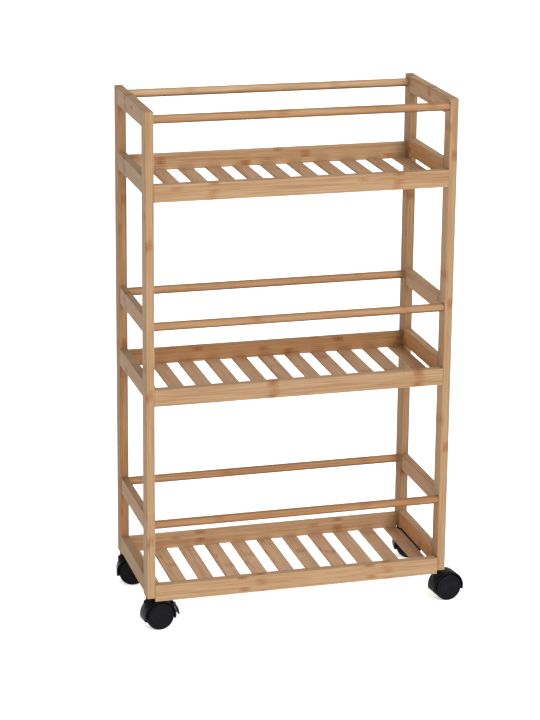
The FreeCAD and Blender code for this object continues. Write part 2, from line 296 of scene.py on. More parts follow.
@dataclass(frozen=True)
class LacqueredBamboo(Finish):
    """Laminated bamboo under a thin satin lacquer.

    The stock is glued from strips.  Each strip has its own tone, fine dark fibres along the
    grain, and a knuckle every 20 cm or so; the ends show the cut fibre bundles.  A scale is
    given along the grain and across it.  A range is where a change starts and ends, and a
    ramp is the same with the results at both ends.
    """

    name: str
    grain: Grain
    pale: Colour = (0.374, 0.242, 0.136)
    warm: Colour = (0.280, 0.154, 0.073)
    brown: Colour = (0.130, 0.052, 0.018)
    knuckle_tone: Colour = (0.232, 0.094, 0.036)
    # Gain on the faces that look to the left, and where it fades in: painted shade below one, painted light
    # above one.
    painted_left_shading: Colour = grey(1.0)
    painted_left_ramp: Ramp = (-0.9, -0.5, 1.0, 0.0)
    strip: float = 6.1 * MM
    strip_shift: float = 1.3 * MM
    strip_share: float = 0.15
    seam_range: Pair = (0.465, 0.495)
    seam_share: float = 0.30
    piece_cell: float = 47.0 * MM
    piece_share: float = 0.30
    drift_scale: Pair = (7.0, 60.0)
    drift_ramp: Ramp = (0.35, 0.65, -0.06, 0.20)
    fibre_scale: Pair = (22.0, 1500.0)
    fibre_rough: float = 0.62
    fibre_range: Pair = (0.42, 0.72)
    fibre_share: float = 0.34
    streak_scale: Pair = (9.0, 700.0)
    streak_range: Pair = (0.38, 0.62)
    streak_share: float = 0.34
    knuckle_gap: float = 0.215
    knuckle_at: float = 0.0
    knuckle_wander: float = 7.0
    knuckle_spread: float = 0.022
    knuckle_drift: float = 0.02
    knuckle_stray: float = 0.18
    stray_range: Pair = (0.80, 0.82)
    knuckle_line: float = 2.2 * MM
    knuckle_length: float = 11.0 * MM
    halo_start: float = 0.35
    halo_share: float = 0.72
    kept_ramp: Ramp = (0.05, 0.55, 0.50, 1.0)
    streaked_ramp: Ramp = (0.35, 0.60, 0.78, 1.0)
    knuckle_share: float = 1.0
    end_range: Pair = (0.75, 0.92)
    end_warmth: float = 0.45
    bundle_scale: float = 1150.0
    bundle_ramp: Ramp = (0.18, 0.42, 0.62, 0.0)
    gloss: float = 0.46
    gloss_range: Pair = (0.2, 0.9)
    gloss_change: float = 0.05
    shine: float = 0.05
    coat: float = 0.02
    coat_gloss: float = 0.30
    relief: float = 0.05 * MM
    fibre_depth: float = 0.35
    seam_depth: float = 0.8
    knuckle_rise: float = 0.5
    seed: float = 3.0

    def dress(self, web: NodeWeb, shader: bpy.types.Node) -> None:
        """Feed the shader with strips, fibres, knuckles and end grain.

        Args:
            web: the material's tree.
            shader: its Principled shader.
        """
        coordinates = web.add("ShaderNodeTexCoord")
        split = web.add("ShaderNodeSeparateXYZ", {0: coordinates.outputs["Object"]})
        place = [split.outputs[axis] for axis in self.grain.value]
        along, across, through = place
        row = self._row(web, across, 0.0)
        layer = self._row(web, through, self.strip_shift)
        tone = self._draw(web, row, layer, Draw.TONE)
        fibre = web.smooth(self._stretched(web, place, self.fibre_scale, self.fibre_rough), *self.fibre_range)
        drift = self._stretched(web, place, self.drift_scale)
        streak = self._stretched(web, place, self.streak_scale)
        piece = self._piece_tone(web, across, through)
        colour = self._wood(web, tone, drift, streak, fibre, piece)
        knuckle = self._knuckle(web, along, row, layer, drift, piece)
        knuckle = web.calc("MULTIPLY", knuckle, web.smooth(streak, *self.streaked_ramp))
        seam = web.calc("MAXIMUM", self._seam(web, across, 0.0), self._seam(web, through, self.strip_shift))
        colour = web.mix(web.calc("MULTIPLY", seam, self.seam_share), colour, opaque(self.brown))
        colour = web.mix(web.calc("MULTIPLY", knuckle, self.knuckle_share), colour, opaque(self.knuckle_tone))
        colour = self._paint_side_shade(web, through, colour)
        colour = self._end_grain(web, coordinates, across, through, colour)
        colour = self._paint_left_shading(web, coordinates, colour)
        dull, bright = self.gloss + self.gloss_change, self.gloss - self.gloss_change
        height = web.calc("SUBTRACT", web.calc("MULTIPLY", fibre, -self.fibre_depth),
                          web.calc("MULTIPLY", seam, self.seam_depth))
        height = web.calc("ADD", height, web.calc("MULTIPLY", knuckle, self.knuckle_rise))
        web.feed_all(shader, {
            "Base Color": colour, "Roughness": web.smooth(fibre, *self.gloss_range, dull, bright),
            "Specular IOR Level": self.shine, "Coat Weight": self.coat, "Coat Roughness": self.coat_gloss,
            "Normal": web.bump(height, self.relief)})

    def toned(self, name: str, shade: float, warmth: float) -> "LacqueredBamboo":
        """The same finish made darker, paler or warmer.

        Args:
            name: the new finish's name.
            shade: how bright it is beside this one.
            warmth: how much of its blue, and half as much of its green, it loses.

        Returns:
            The new finish.
        """
        gains = (shade, shade * (1.0 - warmth * HALF), shade * (1.0 - warmth))
        tones = {key: tuple(part * gain for part, gain in zip(getattr(self, key), gains))
                 for key in ("pale", "warm", "brown", "knuckle_tone")}
        return replace(self, name=name, **tones)

    def knuckled(self, name: str, place: float) -> "LacqueredBamboo":
        """The same finish with its first knuckle at a chosen place along the grain.

        Args:
            name: the new finish's name.
            place: the knuckle's place in metres; the next is one gap further on.

        Returns:
            The new finish.
        """
        return replace(self, name=name, knuckle_at=place, knuckle_wander=0.0)

    def _paint_side_shade(self, web: NodeWeb, through: Socket, colour: Socket) -> Socket:
        """Paint shade from one side of the stock to the other; flat stock keeps its colour."""
        return colour

    def _row(self, web: NodeWeb, place: Socket, shift: float) -> Socket:
        """Number of the strip that a place lies in."""
        return web.calc("FLOOR", web.calc("DIVIDE", web.calc("ADD", place, shift), self.strip))

    def _seam(self, web: NodeWeb, place: Socket, shift: float) -> Socket:
        """Thin glue line between two strips.

        Args:
            web: the material's tree.
            place: place across the strips.
            shift: how far the strips are shifted.

        Returns:
            The line's strength, from 0 to 1.
        """
        phase = web.calc("FRACT", web.calc("DIVIDE", web.calc("ADD", place, shift), self.strip))
        edge = web.calc("ABSOLUTE", web.calc("SUBTRACT", phase, HALF))
        return web.smooth(edge, *self.seam_range)

    @staticmethod
    def _stretched(web: NodeWeb, place: Sequence[Socket], scale: Pair, rough: float = 0.5) -> Socket:
        """Soft noise drawn out along the grain.

        Args:
            web: the material's tree.
            place: where it is read: along the grain, then the two ways across it.
            scale: features a metre along the grain and across it.
            rough: strength of the finer octaves.

        Returns:
            The noise value's socket.
        """
        scales = (scale[0], scale[1], scale[1])
        spot = web.vector(*(web.calc("MULTIPLY", part, gain) for part, gain in zip(place, scales)))
        return web.noise(spot, scale=1.0, detail=3.0, rough=rough)

    def _draw(self, web: NodeWeb, first: Socket, second: Socket, kind: Draw) -> Socket:
        """Random number of a strip or a piece, with a seed of its own for each kind."""
        return web.chance(web.vector(first, second, self.seed + kind.value))

    def _piece_tone(self, web: NodeWeb, across: Socket, through: Socket) -> Socket:
        """Tone that changes from one piece of stock to the next."""
        cells = [web.calc("ROUND", web.calc("DIVIDE", place, self.piece_cell)) for place in (across, through)]
        return self._draw(web, *cells, Draw.PIECE)

    def _wood(self, web: NodeWeb, tone: Socket, drift: Socket, streak: Socket, fibre: Socket,
              piece: Socket) -> Socket:
        """Colour of the strips and their fibres.

        Args:
            web: the material's tree.
            tone: random number of the strip.
            drift: slow change along the grain.
            streak: long streaks a few fibres wide.
            fibre: strength of the dark lines.
            piece: random number of the piece.

        Returns:
            The colour's socket.
        """
        share = web.calc("ADD", web.calc("MULTIPLY", tone, self.strip_share),
                         web.calc("MULTIPLY", piece, self.piece_share))
        share = web.calc("ADD", share, web.smooth(drift, *self.drift_ramp))
        lift = self.streak_share
        share = web.calc("ADD", share, web.smooth(streak, *self.streak_range, -lift, lift), clamp=True)
        colour = web.mix(share, opaque(self.pale), opaque(self.warm))
        return web.mix(web.calc("MULTIPLY", fibre, self.fibre_share), colour, opaque(self.brown))

    def _paint_left_shading(self, web: NodeWeb, coordinates: bpy.types.Node, colour: Socket) -> Socket:
        """Paint light and shade on the faces that look to the left: a gain below one is painted shade, above
        one painted light.

        Args:
            web: the material's tree.
            coordinates: the coordinates node.
            colour: the colour of the other faces.

        Returns:
            The colour with the painted light and shade on the left faces.
        """
        normal = web.add("ShaderNodeSeparateXYZ", {0: coordinates.outputs["Normal"]})
        facing = web.smooth(normal.outputs["X"], *self.painted_left_ramp)
        # Painted light and shade: the colour is multiplied by the gain where the face looks to the left.
        return web.mix(facing, colour, opaque(self.painted_left_shading), "MULTIPLY")

    def _knuckle(self, web: NodeWeb, along: Socket, row: Socket, layer: Socket, drift: Socket,
                 piece: Socket) -> Socket:
        """Dark band where the cane had a knuckle, a little further on in some strips.

        Args:
            web: the material's tree.
            along: place along the grain.
            row: number of the strip.
            layer: number of its layer.
            drift: slow change along the grain.
            piece: random number of the piece.

        Returns:
            The band's strength, from 0 to 1.
        """
        spread = web.calc("MULTIPLY", self._draw(web, row, layer, Draw.SPREAD), self.knuckle_spread)
        stray = self._draw(web, row, layer, Draw.STRAY)
        stray = web.smooth(stray, *self.stray_range, 0.0, self.knuckle_stray)
        wander = web.calc("MULTIPLY", piece, self.knuckle_wander)
        start = web.calc("ADD", wander, web.calc("ADD", spread, stray))
        place = web.calc("DIVIDE", web.calc("SUBTRACT", along, self.knuckle_at), self.knuckle_gap)
        turns = web.calc("ADD", web.calc("ADD", place, HALF), start)
        turns = web.calc("ADD", turns, web.calc("MULTIPLY", drift, self.knuckle_drift))
        near = web.calc("ABSOLUTE", web.calc("SUBTRACT", web.calc("FRACT", turns), HALF))
        line, length = self.knuckle_line / self.knuckle_gap, self.knuckle_length / self.knuckle_gap
        band = web.smooth(near, line * HALF, line, 1.0, 0.0)
        halo = web.smooth(near, length * self.halo_start, length, self.halo_share, 0.0)
        kept = web.smooth(self._draw(web, row, layer, Draw.KEPT), *self.kept_ramp)
        return web.calc("MULTIPLY", web.calc("MAXIMUM", band, halo), kept)

    def _end_grain(self, web: NodeWeb, coordinates: bpy.types.Node, across: Socket, through: Socket,
                   colour: Socket) -> Socket:
        """Lay the cut fibre bundles over the faces that cross the grain.

        Args:
            web: the material's tree.
            coordinates: the coordinates node.
            across: first place across the grain.
            through: second place across the grain.
            colour: the colour of the long faces.

        Returns:
            The colour with end grain.
        """
        normal = web.add("ShaderNodeSeparateXYZ", {0: coordinates.outputs["Normal"]})
        facing = web.calc("ABSOLUTE", normal.outputs[self.grain.value[0]])
        is_end = web.smooth(facing, *self.end_range)
        place = web.vector(across, through, 0.0)
        dots = web.add("ShaderNodeTexVoronoi", {"Vector": place, "Scale": self.bundle_scale})
        spot = web.smooth(dots.outputs["Distance"], *self.bundle_ramp)
        tan = web.mix(self.end_warmth, colour, opaque(self.warm))
        return web.mix(is_end, colour, web.mix(spot, tan, opaque(self.brown)))


@dataclass(frozen=True)
class RodBamboo(LacqueredBamboo):
    """Bamboo rods, with painted shade on the underside and a thin band of painted shade near the top."""

    # Colour and reach of the painted shade under each rod and in a thin band near its top.
    painted_underside_shade: Colour = (0.150, 0.060, 0.022)
    underside_shade_top: float = 0.5 * MM
    underside_shade_full: float = 5.0 * MM
    underside_shade_share: float = 0.85
    top_shade_low: float = 4.0 * MM
    top_shade_high: float = 5.8 * MM
    top_shade_share: float = 0.35

    def _paint_side_shade(self, web: NodeWeb, through: Socket, colour: Socket) -> Socket:
        """Paint shade on the underside, and a little on the very top.

        Args:
            web: the material's tree.
            through: height of the place.
            colour: the colour of the rod's sides.

        Returns:
            The shaded colour.
        """
        low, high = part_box("front_rod_bottom")
        centre = (low.z + high.z) * HALF
        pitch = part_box("front_rod_middle")[0].z - low.z
        turns = web.calc("ADD", web.calc("DIVIDE", web.calc("SUBTRACT", through, centre), pitch), HALF)
        rise = web.calc("MULTIPLY", web.calc("SUBTRACT", web.calc("FRACT", turns), HALF), pitch)
        fall = web.calc("MULTIPLY", rise, -1.0)
        # Painted shade: darker below the rod's middle, and a little in a band near its top.
        under = web.smooth(fall, self.underside_shade_top, self.underside_shade_full, 0.0, self.underside_shade_share)
        above = web.smooth(rise, self.top_shade_low, self.top_shade_high, 0.0, self.top_shade_share)
        return web.mix(web.calc("MAXIMUM", under, above), colour, opaque(self.painted_underside_shade))


@dataclass(frozen=True)
class MouldedPlastic(Finish):
    """Black plastic from a finely sparked mould."""

    name: str
    base: Colour = (0.0020, 0.0020, 0.0027)
    scuffed: Colour = (0.0040, 0.0040, 0.0052)
    scuff_range: Pair = (0.42, 0.75)
    cloud_scale: float = 85.0
    cloud_rough: float = 0.6
    shine: float = 0.07
    gloss: float = 0.36
    gloss_range: Pair = (0.3, 0.7)
    gloss_change: Pair = (-0.04, 0.06)
    pore_scale: float = 2600.0
    pore_gloss: float = 0.08
    relief: float = 0.035 * MM

    def dress(self, web: NodeWeb, shader: bpy.types.Node) -> None:
        """Feed the shader with a fine grain and a faint uneven sheen.

        Args:
            web: the material's tree.
            shader: its Principled shader.
        """
        place = web.add("ShaderNodeTexCoord").outputs["Object"]
        cloud = web.noise(place, self.cloud_scale, detail=4.0, rough=self.cloud_rough)
        pores = web.noise(place, self.pore_scale)
        speckle = web.calc("MULTIPLY", web.calc("SUBTRACT", pores, HALF), self.pore_gloss)
        sheen = web.smooth(cloud, *self.gloss_range, *(self.gloss + change for change in self.gloss_change))
        colour = web.mix(web.smooth(cloud, *self.scuff_range), opaque(self.base), opaque(self.scuffed))
        web.feed_all(shader, {
            "Base Color": colour, "Roughness": web.calc("ADD", sheen, speckle),
            "Specular IOR Level": self.shine, "Normal": web.bump(pores, self.relief)})


@dataclass(frozen=True)
class TurnedMetal(Finish):
    """Bare or plated metal with fine turning marks."""

    name: str
    base: Colour = (0.56, 0.56, 0.58)
    dull: Colour = (0.40, 0.40, 0.42)
    dull_range: Pair = (0.4, 0.7)
    patch_scale: float = 140.0
    gloss: float = 0.30
    gloss_range: Pair = (0.3, 0.7)
    gloss_change: Pair = (-0.05, 0.10)
    marks: float = 3200.0
    relief: float = 0.01 * MM

    def dress(self, web: NodeWeb, shader: bpy.types.Node) -> None:
        """Feed the shader with rings of fine marks and duller patches.

        Args:
            web: the material's tree.
            shader: its Principled shader.
        """
        place = web.add("ShaderNodeTexCoord").outputs["Object"]
        height = web.add("ShaderNodeSeparateXYZ", {0: place}).outputs["Z"]
        rings = web.noise(web.vector(0.0, 0.0, web.calc("MULTIPLY", height, self.marks)), 1.0)
        patch = web.noise(place, self.patch_scale, detail=3.0)
        sheen = web.smooth(patch, *self.gloss_range, *(self.gloss + change for change in self.gloss_change))
        web.feed_all(shader, {
            "Base Color": web.mix(web.smooth(patch, *self.dull_range), opaque(self.base), opaque(self.dull)),
            "Roughness": sheen, "Metallic": 1.0, "Normal": web.bump(rings, self.relief)})


class Finishes:
    """The cart's finishes, by part."""

    # Painted light and shade on the posts: the left posts' outer faces are darkened (painted shade), the
    # front right post's inner face is brightened (painted light), and the rear posts are darker, warmer
    # copies (painted shade).
    POST = LacqueredBamboo("upright_bamboo", Grain.UPRIGHT, pale=(0.352, 0.226, 0.124),
                           warm=(0.266, 0.145, 0.068), painted_left_shading=grey(0.80))
    RIGHT_POST = replace(POST.toned("right_upright_bamboo", 0.98, 0.0), painted_left_shading=grey(1.10))
    REAR_POST = replace(POST.toned("rear_upright_bamboo", 0.97, 0.18), painted_left_shading=grey(0.72))
    REAR_RIGHT_POST = replace(POST.toned("rear_right_upright_bamboo", 0.86, 0.11), painted_left_shading=grey(1.0))
    BOARD = LacqueredBamboo("long_board_bamboo", Grain.ALONG_WIDTH, seed=17.0)
    BOTTOM_BOARD = replace(BOARD.knuckled("front_board_bottom_bamboo", -0.064), knuckle_gap=0.190,
                           knuckle_stray=0.14)
    # The middle and rear boards are copies matched to each piece's colour as lit: partly the piece's own
    # tone, partly painted light and shade.
    MIDDLE_BOARD = BOARD.toned("middle_board_bamboo", 0.96, 0.0).knuckled("front_board_middle_bamboo", -0.048)
    TOP_BOARD = replace(BOARD.knuckled("front_board_top_bamboo", -0.137), knuckle_gap=0.265)
    MIDDLE_REAR_BOARD = BOARD.toned("middle_rear_board_bamboo", 0.98, 0.32)
    OTHER_REAR_BOARD = BOARD.toned("rear_board_bamboo", 1.22, 0.03)
    SIDE = LacqueredBamboo("side_member_bamboo", Grain.ALONG_DEPTH, seed=29.0)
    # Painted light and shade on the side members: the left ones are a darker copy (painted shade, as their
    # faces look left), and the right ones get painted light on their inner faces.
    SHADED_LEFT_SIDE = SIDE.toned("left_side_painted_shade_bamboo", 0.77, 0.02)
    RIGHT_SIDE = replace(SIDE, name="right_side_bamboo", painted_left_shading=(1.10, 1.03, 0.98))
    RIGHT_BOARD = replace(SIDE, name="right_side_board_bamboo", painted_left_shading=(1.42, 1.18, 0.94))
    # The slats' left sides are darkened by the left gain (painted shade); the bottom deck's slats are a paler
    # copy, painted light against the shade of the trays above.
    SLAT = LacqueredBamboo("slat_bamboo", Grain.ALONG_DEPTH, pale=(0.455, 0.294, 0.178),
                           warm=(0.352, 0.198, 0.105), strip=7.4 * MM, piece_cell=40.4 * MM, seed=41.0,
                           piece_share=0.45, knuckle_share=0.60, painted_left_shading=grey(0.62))
    LIT_LOW_SLAT = SLAT.toned("low_slat_painted_light_bamboo", 1.17, -0.06)
    ROD = RodBamboo("rod_bamboo", Grain.ALONG_WIDTH, pale=(0.380, 0.227, 0.118),
                    warm=(0.275, 0.136, 0.059), strip=9.0 * MM, seed=53.0, knuckle_share=0.50)
    # The rod copies are matched the same way: partly each rod's own tone, partly painted light and shade.
    LOW_FRONT_ROD = ROD.toned("low_front_rod_bamboo", 0.88, 0.14)
    MIDDLE_FRONT_ROD = ROD.toned("middle_front_rod_bamboo", 0.95, 0.0)
    REAR_ROD = ROD.toned("rear_rod_bamboo", 1.15, 0.03)
    TOP_REAR_ROD = ROD.toned("top_rear_rod_bamboo", 1.265, -0.33)
    DOWEL = LacqueredBamboo("dowel_beech", Grain.ALONG_DEPTH, pale=(0.46, 0.32, 0.19),
                            warm=(0.38, 0.24, 0.13), knuckle_share=0.0, coat=0.0, gloss=0.6)
    HOOD = MouldedPlastic("caster_hood_black")
    WHEEL = MouldedPlastic("caster_wheel_disc", base=(0.0038, 0.0038, 0.0056),
                           scuffed=(0.0058, 0.0058, 0.0082), gloss=0.30, relief=0.02 * MM)
    TREAD = MouldedPlastic("caster_wheel_tread", base=(0.0016, 0.0016, 0.0020), shine=0.06, gloss=0.50)
    LEVER = MouldedPlastic("brake_lever_black", gloss=0.33)
    STEEL = TurnedMetal("plated_steel")
    BRASS = TurnedMetal("plain_brass", base=(0.70, 0.50, 0.22), dull=(0.50, 0.34, 0.14))


# ---------------------------------------------------------------- meshes
def rounded_outline(corners: Sequence[tuple[float, float, float]], steps: int = 4) -> Outline:
    """Round the corners of a closed outline.

    Args:
        corners: the corners in order, each with its radius; a radius of 0 keeps it sharp.
        steps: pieces in each arc.

    Returns:
        The rounded outline.
    """
    result: Outline = []
    for number, (x, y, radius) in enumerate(corners):
        here = Vector((x, y))
        back = Vector(corners[number - 1][:2]) - here
        ahead = Vector(corners[(number + 1) % len(corners)][:2]) - here
        turn = back.angle(ahead)
        if radius <= 0.0 or turn > STRAIGHT:
            result.append(tuple(here))
            continue
        reach = min(radius / math.tan(turn * HALF), back.length * EDGE_REACH, ahead.length * EDGE_REACH)
        start, end = here + back.normalized() * reach, here + ahead.normalized() * reach
        inward = (back.normalized() + ahead.normalized()).normalized()
        centre = here + inward * (reach / math.cos(turn * HALF))
        for step in range(steps + 1):
            spoke = (start - centre).lerp(end - centre, step / steps).normalized() * (start - centre).length
            result.append(tuple(centre + spoke))
    return result


def linked(name: str, data: bpy.types.ID) -> bpy.types.Object:
    """Put a new object in the scene.

    Args:
        name: the object's name.
        data: its mesh, light or camera.

    Returns:
        The object.
    """
    made = bpy.data.objects.new(name, data)
    bpy.context.scene.collection.objects.link(made)
    return made


def new_object(name: str, body: bmesh.types.BMesh) -> bpy.types.Object:
    """Turn a working mesh into an object in the scene.

    Args:
        name: the object's name.
        body: the working mesh, which is used up.

    Returns:
        The object.
    """
    bmesh.ops.remove_doubles(body, verts=body.verts, dist=WELD)
    bmesh.ops.recalc_face_normals(body, faces=body.faces)
    mesh = bpy.data.meshes.new(name)
    body.to_mesh(mesh)
    body.free()
    return linked(name, mesh)


def turned(name: str, section: Outline, start: float = 0.0, end: float = math.tau,
           steps: int = 72) -> bpy.types.Object:
    """Turn a closed section round the Y axis.

    Args:
        name: the object's name.
        section: (radius, place along the axis) points.
        start: first angle above +X towards +Z.
        end: last angle.
        steps: pieces round the turn.

    Returns:
        The object, closed at its ends if the turn isn't a full one.
    """
    body = bmesh.new()
    full = abs(end - start - math.tau) < FULL_SLACK
    rings = []
    for number in range(steps if full else steps + 1):
        angle = start + (end - start) * number / steps
        cosine, sine = math.cos(angle), math.sin(angle)
        rings.append([body.verts.new((radius * cosine, along, radius * sine)) for radius, along in section])
    count = len(section)
    pairs = list(zip(rings, rings[1:])) + ([(rings[-1], rings[0])] if full else [])
    for first, second in pairs:
        for number in range(count):
            after = (number + 1) % count
            body.faces.new((first[number], first[after], second[after], second[number]))
    if not full:
        body.faces.new(rings[0])
        body.faces.new(reversed(rings[-1]))
    bmesh.ops.dissolve_degenerate(body, edges=body.edges, dist=WELD)
    return new_object(name, body)


def cylinder(name: str, radius: float, low: float, high: float, steps: int) -> bpy.types.Object:
    """Round solid along the Y axis, from one place to another."""
    return turned(name, [(0.0, low), (radius, low), (radius, high), (0.0, high)], steps=steps)


def prism(name: str, outline: Outline, low: float, high: float) -> bpy.types.Object:
    """Raise an outline in the XZ plane along Y.

    Args:
        name: the object's name.
        outline: (x, z) points.
        low: first place along Y.
        high: last place along Y.

    Returns:
        The closed object.
    """
    body = bmesh.new()
    base = [body.verts.new((x, low, z)) for x, z in outline]
    top = [body.verts.new((x, high, z)) for x, z in outline]
    body.faces.new(base)
    body.faces.new(reversed(top))
    for number in range(len(outline)):
        after = (number + 1) % len(outline)
        body.faces.new((base[number], top[number], top[after], base[after]))
    return new_object(name, body)


def plain(source: bpy.types.Object) -> bpy.types.Object:
    """Apply an object's modifiers to its mesh.

    Args:
        source: the object with modifiers.

    Returns:
        The same object with a plain mesh.
    """
    bpy.context.view_layer.update()
    mesh = bpy.data.meshes.new_from_object(source.evaluated_get(bpy.context.evaluated_depsgraph_get()))
    source.modifiers.clear()
    source.data = mesh
    mesh.name = source.name
    return source


def smoothed(source: bpy.types.Object) -> bpy.types.Object:
    """Shade smooth, but keep the real corners sharp.

    Args:
        source: the object.

    Returns:
        The same object.
    """
    source.data.polygons.foreach_set("use_smooth", [True] * len(source.data.polygons))
    source.data.set_sharp_from_angle(angle=SMOOTH_BELOW)
    return source


def eased(source: bpy.types.Object, radius: float, steps: int = 3) -> bpy.types.Object:
    """Round the sharp edges of an object.

    Args:
        source: the object.
        radius: how far the rounding reaches.
        steps: pieces in the rounding.

    Returns:
        The object with a plain rounded mesh.
    """
    bevel = source.modifiers.new("ease", "BEVEL")
    bevel.width = radius
    bevel.segments = steps
    bevel.limit_method = "ANGLE"
    bevel.angle_limit = EASE_ABOVE
    return plain(source)


def combined(target: bpy.types.Object, others: Iterable[bpy.types.Object], way: str) -> bpy.types.Object:
    """Unite other closed solids with an object, or take them from it.

    Args:
        target: the object that stays.
        others: the solids, which are used up.
        way: UNION or DIFFERENCE.

    Returns:
        The object with a plain mesh.
    """
    for other in others:
        step = target.modifiers.new("join", "BOOLEAN")
        step.operation = way
        step.solver = "EXACT"
        step.object = other
        plain(target)
        bpy.data.objects.remove(other)
    return target


class Recipe:
    """A Geometry Nodes tree with named inputs, run once into a plain mesh."""

    def __init__(self, name: str) -> None:
        """Start a tree.

        Args:
            name: the tree's name.
        """
        self.tree = bpy.data.node_groups.new(name, "GeometryNodeTree")
        self.web = NodeWeb(self.tree)
        self.source = self.web.add("NodeGroupInput")
        self.values: dict[str, object] = {}

    def input(self, name: str, kind: str, value: object) -> Socket:
        """Add a named input.

        Args:
            name: the input's name.
            kind: Float, Int, Vector or Material.
            value: what the modifier gives it.

        Returns:
            The socket to link from.
        """
        socket = self.tree.interface.new_socket(name, in_out="INPUT", socket_type=f"NodeSocket{kind}")
        self.values[socket.identifier] = value
        return self.source.outputs[name]

    def made(self, name: str, geometry: Socket, finish: bpy.types.Material) -> bpy.types.Object:
        """Finish the tree and run it.

        Args:
            name: the object's name.
            geometry: what the tree has built.
            finish: the material of the result.

        Returns:
            An object with a plain mesh.
        """
        real = self.web.add("GeometryNodeRealizeInstances", {0: geometry}).outputs[0]
        material = self.input("Finish", "Material", finish)
        dressed = self.web.add("GeometryNodeSetMaterial", {"Geometry": real, "Material": material}).outputs[0]
        self.tree.interface.new_socket("Geometry", in_out="OUTPUT", socket_type="NodeSocketGeometry")
        self.web.add("NodeGroupOutput", {0: dressed})
        result = linked(name, bpy.data.meshes.new(name))
        modifier = result.modifiers.new("recipe", "NODES")
        modifier.node_group = self.tree
        for identifier, value in self.values.items():
            modifier[identifier] = value
        return plain(result)


# ---------------------------------------------------------------- placing and dressing
def placed(piece: bpy.types.Object, body: str, replaced: Sequence[str] = (),
           finish: Optional[Finish] = None) -> bpy.types.Object:
    """Attach a finished piece to its body and hide the CAD nodes it stands for.

    Args:
        piece: the finished object.
        body: the CAD body that it moves with.
        replaced: the CAD nodes that it hides.
        finish: its finish, if it has none yet.

    Returns:
        The piece.
    """
    if finish is not None:
        piece.data.materials.clear()
        piece.data.materials.append(finish.material())
    smoothed(piece)
    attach(piece, body)
    if replaced:
        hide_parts(*replaced)
    LOG.info("%s rides on %s", piece.name, body)
    return piece


def dress_node(node: str, finish: Finish) -> None:
    """Give a CAD node its finish.

    Args:
        node: the node's name.
        finish: its finish.
    """
    data = frame["nodes"][node].data
    for number in range(max(1, len(data.materials))):
        if number < len(data.materials):
            data.materials[number] = finish.material()
        else:
            data.materials.append(finish.material())
    LOG.info("%s keeps its CAD shape", node)


def joint_named(name: str) -> dict:
    """The record's joint of that name."""
    return next(joint for joint in frame["joints"] if joint["name"] == name)


# ---------------------------------------------------------------- sub-assemblies
class BambooFrame:
    """Posts, rails and boards, which keep their CAD shapes."""

    FINISHES = {
        "post_front_right": Finishes.RIGHT_POST,
        "post_rear_right": Finishes.REAR_RIGHT_POST,
        "post_rear_": Finishes.REAR_POST,
        "post_": Finishes.POST,
        "guard_rail_left_": Finishes.SHADED_LEFT_SIDE,
        "guard_rail_right_": Finishes.RIGHT_SIDE,
        "side_board_left_": Finishes.SHADED_LEFT_SIDE,
        "side_board_right_": Finishes.RIGHT_BOARD,
        "front_board_bottom": Finishes.BOTTOM_BOARD,
        "front_board_middle": Finishes.MIDDLE_BOARD,
        "front_board_top": Finishes.TOP_BOARD,
        "rear_board_middle": Finishes.MIDDLE_REAR_BOARD,
        "rear_board_": Finishes.OTHER_REAR_BOARD,
        "rear_rod_top": Finishes.TOP_REAR_ROD,
        "rear_rod_": Finishes.REAR_ROD,
        "front_rod_bottom": Finishes.LOW_FRONT_ROD,
        "front_rod_middle": Finishes.MIDDLE_FRONT_ROD,
        "front_rod_": Finishes.ROD,
        "side_frame_dowels": Finishes.DOWEL,
        "tray_board_dowels": Finishes.DOWEL,
        "caster_inserts": Finishes.BRASS}

    def dress(self) -> None:
        """Give each member the bamboo whose grain runs its way."""
        for node in frame["nodes"]:
            finish = next((value for start, value in self.FINISHES.items() if node.startswith(start)), None)
            if finish is not None:
                dress_node(node, finish)


